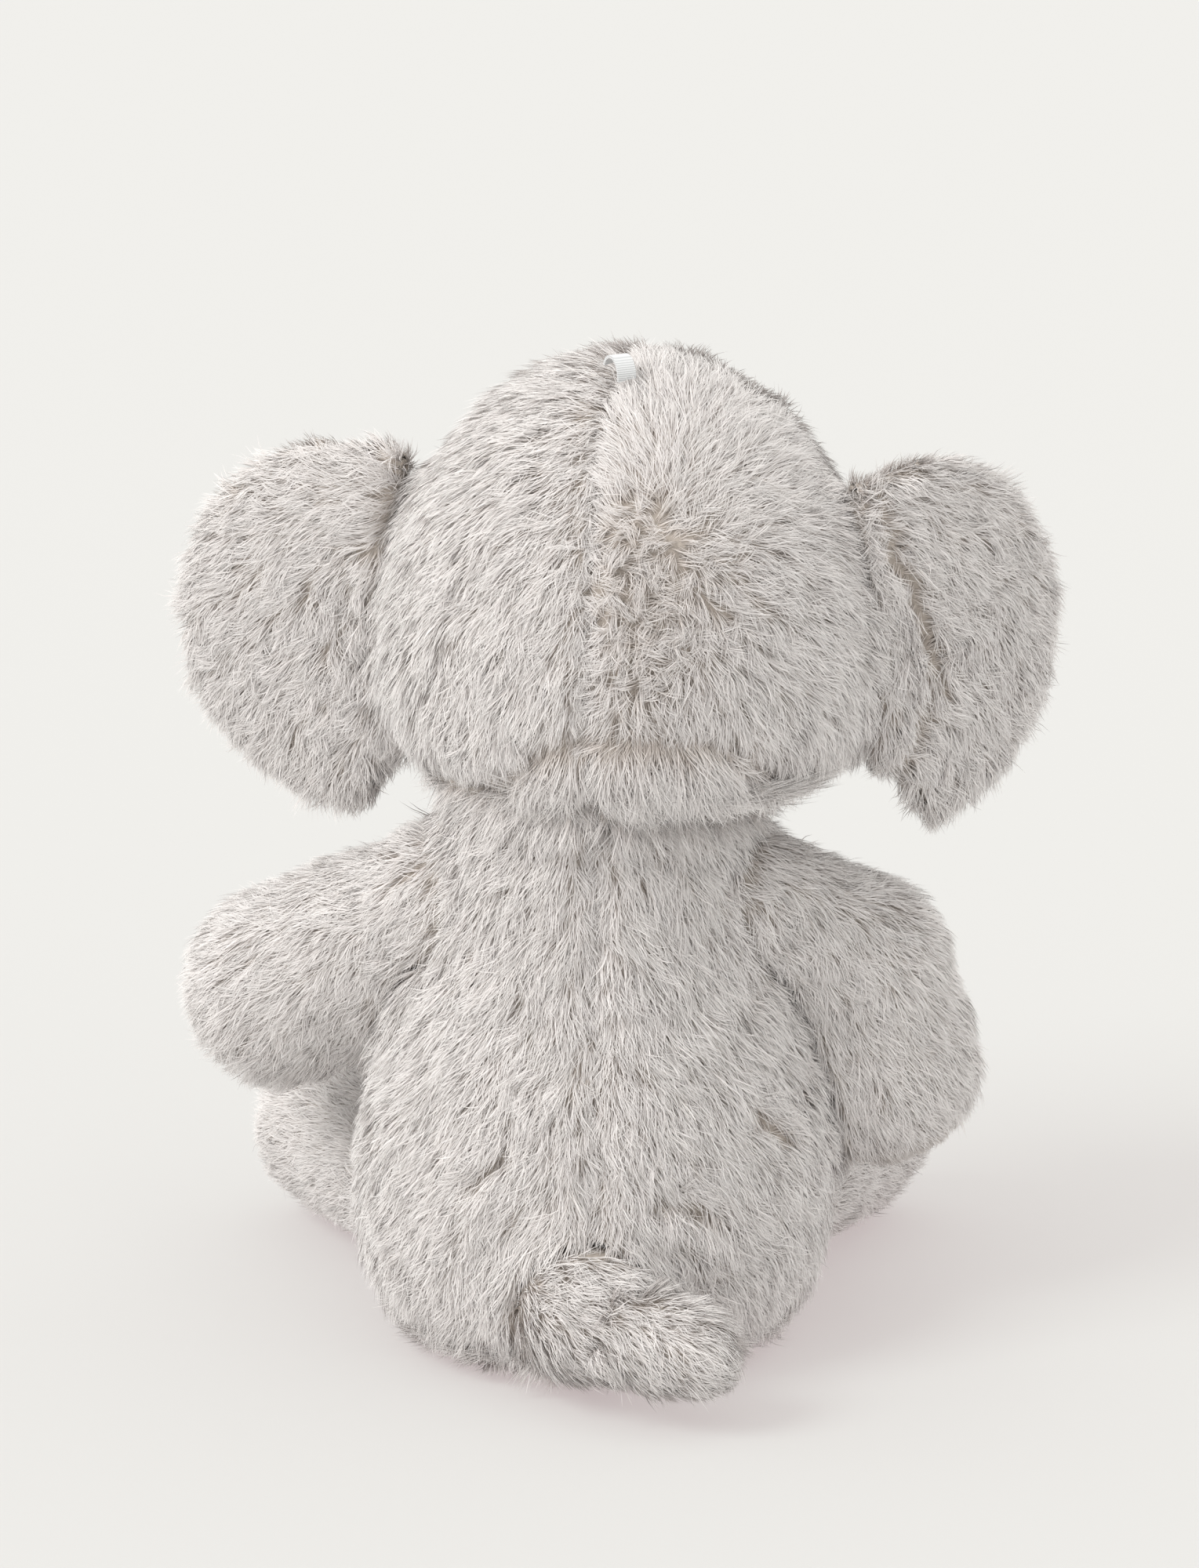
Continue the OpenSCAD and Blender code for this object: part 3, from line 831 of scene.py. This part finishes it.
def flow_ear(side):
    """Outward over the ear from the spot where it fans out, and down."""
    low, high = (np.array(corner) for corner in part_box(f"ear_{side}_filling"))
    across_share, up_share = FAN_SHARE[side]
    fan = (low + high) / 2
    fan[0] = low[0] + (high[0] - low[0]) * across_share
    fan[2] = low[2] + (high[2] - low[2]) * up_share

    def flow(points, normals):
        return unit(points - fan) - UP * EAR_DROP
    return flow


def flow_limb(body):
    """From the limb's joint towards its end, and down."""
    low, high = (np.array(corner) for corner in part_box(COVERS[body][0]))
    joint = next(j for j in frame["joints"] if j["child"] == body)
    heading = unit((low + high) / 2 - np.array(joint["pos_m"]))

    def flow(points, normals):
        return np.tile(heading - UP * LIMB_DROP, (len(points), 1))
    return flow


# ---------------------------------------------------------------- the toy

COVERS = {
    "torso": ["torso_back_left", "torso_back_right", "torso_belly", "torso_seat"],
    "head": ["head_back_left", "head_back_right", "face"],
    "trunk": ["trunk_left_panel", "trunk_right_panel"],
    "tail": ["tail_cover"],
}
for side in ("left", "right"):
    COVERS[f"ear_{side}"] = [f"ear_{side}_back", f"ear_{side}_front"]
    COVERS[f"arm_{side}"] = [f"arm_{side}_cover", f"arm_{side}_paw"]
    COVERS[f"leg_{side}"] = [f"leg_{side}_cover", f"leg_{side}_sole"]

# Kinds of pile: lengths and tufts in mm, lift in degrees, sway and stray in radians, the rest as shares
LONG = {"density": 1.0, "length": 10, "lift": 33, "tuft": 14, "sway": 0.3, "stray": 0.2, "gather": 1.0,
        "width": 1.0, "parting": 0.5}
LIMB = {**LONG, "length": 9, "lift": 31, "parting": 0.0}
EAR = {**LONG, "length": 8.5, "lift": 36, "tuft": 12, "sway": 0.6, "stray": 0.28, "parting": 0.0}
SHORT = {**LIMB, "density": 1.1, "length": 5.5, "lift": 40, "tuft": 12, "gather": 0.6, "width": 0.8}

# Partings of the pile: three short ones on the back, and the folds of the right ear
CREASES = {
    "torso": [
        Crease("torso_filling", [(0.14, 0.40), (0.09, 0.385), (0.06, 0.35)]),
        Crease("torso_filling", [(0.35, 0.30), (0.30, 0.295), (0.24, 0.265)]),
        Crease("torso_filling", [(0.69, 0.365), (0.73, 0.35), (0.76, 0.32)]),
    ],
    "ear_right": [
        Crease("ear_right_filling", [(0.95, 0.95), (0.78, 0.72), (0.58, 0.40)]),
        Crease("ear_right_filling", [(0.58, 0.50), (0.71, 0.26), (0.88, 0.10)]),
    ],
}

long_pile = pile_material("long_pile", ROOT_GREY, MIDDLE_GREY, TIP_GREY)
ear_pile = pile_material("ear_pile", ROOT_GREY, MIDDLE_GREY, EAR_TIP)
pad_pile = pile_material("pad_pile", PAD_ROOT, PAD_GREY, PAD_TIP)
backing = cloth_material("knit_backing", CLOTH_GREY)


def plan():
    """Every body with its inset, its seams' depth, its flows and each panel's style, material and slot."""
    fur = (LONG, long_pile, "plush")
    limb_fur = (LIMB, long_pile, "plush")
    yield "torso", SKIN_INSET, SEAM_DEPTH, [flow_torso] * 4, [fur] * 4
    yield "head", SKIN_INSET, SEAM_DEPTH, [flow_head_left, flow_head_right, flow_face], [fur] * 3
    yield "trunk", LIMB_INSET, 0, [flow_limb("trunk")] * 2, [limb_fur] * 2
    yield "tail", LIMB_INSET, 0, [flow_limb("tail")], [limb_fur]
    for side in ("left", "right"):
        yield (f"ear_{side}", EAR_INSET, 0, [flow_ear(side)] * 2,
               [(EAR, long_pile, "plush"), (SHORT, ear_pile, "plush_ear_front")])
        for limb in ("arm", "leg"):
            yield (f"{limb}_{side}", LIMB_INSET, 0, [flow_limb(f"{limb}_{side}")] * 2,
                   [limb_fur, (SHORT, pad_pile, "plush_pads")])


stuffing = stuffing_material()
seed = 0
for body, inset, groove, flows, finishes in plan():
    filling = body + "_filling"
    skin = Skin(body, COVERS[body], filling, inset, groove)
    for index, (style, material, slot) in enumerate(finishes):
        seed += SEED_STEP
        cloth_piece(skin, index, backing, slot)
        pile_piece(skin, index, flows[index], style, material, slot, seed)
    filling_piece(skin, filling, stuffing)

FINISHES = {
    "stuffing": stuffing,
    "pellet_cloth": cloth_material("pellet_cloth", (0.75, 0.74, 0.70)),
    "eye_plastic": plastic_material("eye_plastic", (0.006, 0.0055, 0.0055), 0.16, coat=0.3),
    "washer_plastic": plastic_material("washer_plastic", (0.7, 0.7, 0.68), 0.5),
    "ribbon": ribbon_material(),
}

# The start of a CAD node's name and its finish, the last one that fits; the other nodes shown are stuffing
FINISH_OF = {
    "eye_": "eye_plastic",
    "eye_washer": "washer_plastic",
    "crown_loop": "ribbon",
    "pellet_bag": "pellet_cloth",
}
for name, node in frame["nodes"].items():
    if not node.hide_render:
        own = [finish for start, finish in FINISH_OF.items() if name.startswith(start)]
        material = FINISHES[own[-1] if own else "stuffing"]
        node.data.materials.clear()
        node.data.materials.append(material)


# ---------------------------------------------------------------- stage, light and camera

FLOOR_REACH = 9
# The floor's colour and its glow. The glow is painted light: it lifts the floor's shadows, and with the
# greenish colour tints them pink
FLOOR_TONE = (0.315, 0.362, 0.345, 1)
FLOOR_GLOW = (0.442, 0.374, 0.377, 1)
STUDIO_TONE = (0.87, 0.865, 0.84, 1)
STUDIO_STRENGTH = 1.2

# A long lens: the width that it sees at its target, and the spot that ends up in the picture's middle
CAMERA_DISTANCE = 2.6
CAMERA_RISE = math.radians(17)
CAMERA_TARGET = Vector((-0.007, 0, 0.130))
CAMERA_AIM = Vector((-0.0018, -0.006, 0.1495))
CAMERA_SENSOR = 36
CAMERA_WIDTH = 0.4115
CAMERA_END = 50


def floor():
    """A plain pale floor that glows: painted light that keeps its shadows pale and tints them pink."""
    mesh = bpy.data.meshes.new("floor")
    corners = [(x * FLOOR_REACH, y * FLOOR_REACH, 0) for x, y in ((-1, -1), (1, -1), (1, 1), (-1, 1))]
    mesh.from_pydata(corners, [], [(0, 1, 2, 3)])
    plane = bpy.data.objects.new("floor", mesh)
    bpy.context.scene.collection.objects.link(plane)
    material, _, _, shader = principled("pale_paper_painted_glow")
    shader.inputs["Base Color"].default_value = FLOOR_TONE
    shader.inputs["Emission Color"].default_value = FLOOR_GLOW
    shader.inputs["Emission Strength"].default_value = 1.0
    shader.inputs["Roughness"].default_value = 0.9
    shader.inputs["Specular IOR Level"].default_value = 0.1
    mesh.materials.append(material)


def sun(direction, spread, strength, colour):
    """Soft daylight from the given direction, with its spread in degrees."""
    data = bpy.data.lights.new("key", "SUN")
    data.angle = math.radians(spread)
    data.energy = strength
    data.color = colour
    lamp = bpy.data.objects.new("key", data)
    bpy.context.scene.collection.objects.link(lamp)
    lamp.rotation_euler = Vector(direction).to_track_quat("Z", "Y").to_euler()


def camera():
    """A long lens behind the toy, a little above its middle."""
    data = bpy.data.cameras.new("camera")
    data.sensor_width = CAMERA_SENSOR
    data.lens = CAMERA_SENSOR * CAMERA_DISTANCE / CAMERA_WIDTH
    data.clip_end = CAMERA_END
    eye = bpy.data.objects.new("camera", data)
    bpy.context.scene.collection.objects.link(eye)
    heading = Vector((0, math.cos(CAMERA_RISE), math.sin(CAMERA_RISE)))
    eye.location = CAMERA_TARGET + heading * CAMERA_DISTANCE
    eye.rotation_euler = (CAMERA_AIM - eye.location).to_track_quat("-Z", "Y").to_euler()
    bpy.context.scene.camera = eye


def studio():
    """Even light from all sides."""
    world = bpy.data.worlds.new("studio")
    world.use_nodes = True
    background = world.node_tree.nodes["Background"]
    background.inputs["Color"].default_value = STUDIO_TONE
    background.inputs["Strength"].default_value = STUDIO_STRENGTH
    bpy.context.scene.world = world


floor()
sun(direction=(0.80, 0.55, 0.90), spread=28, strength=1.4, colour=(1.0, 0.985, 0.965))
camera()
studio()
bpy.context.scene.view_settings.view_transform = "Standard"
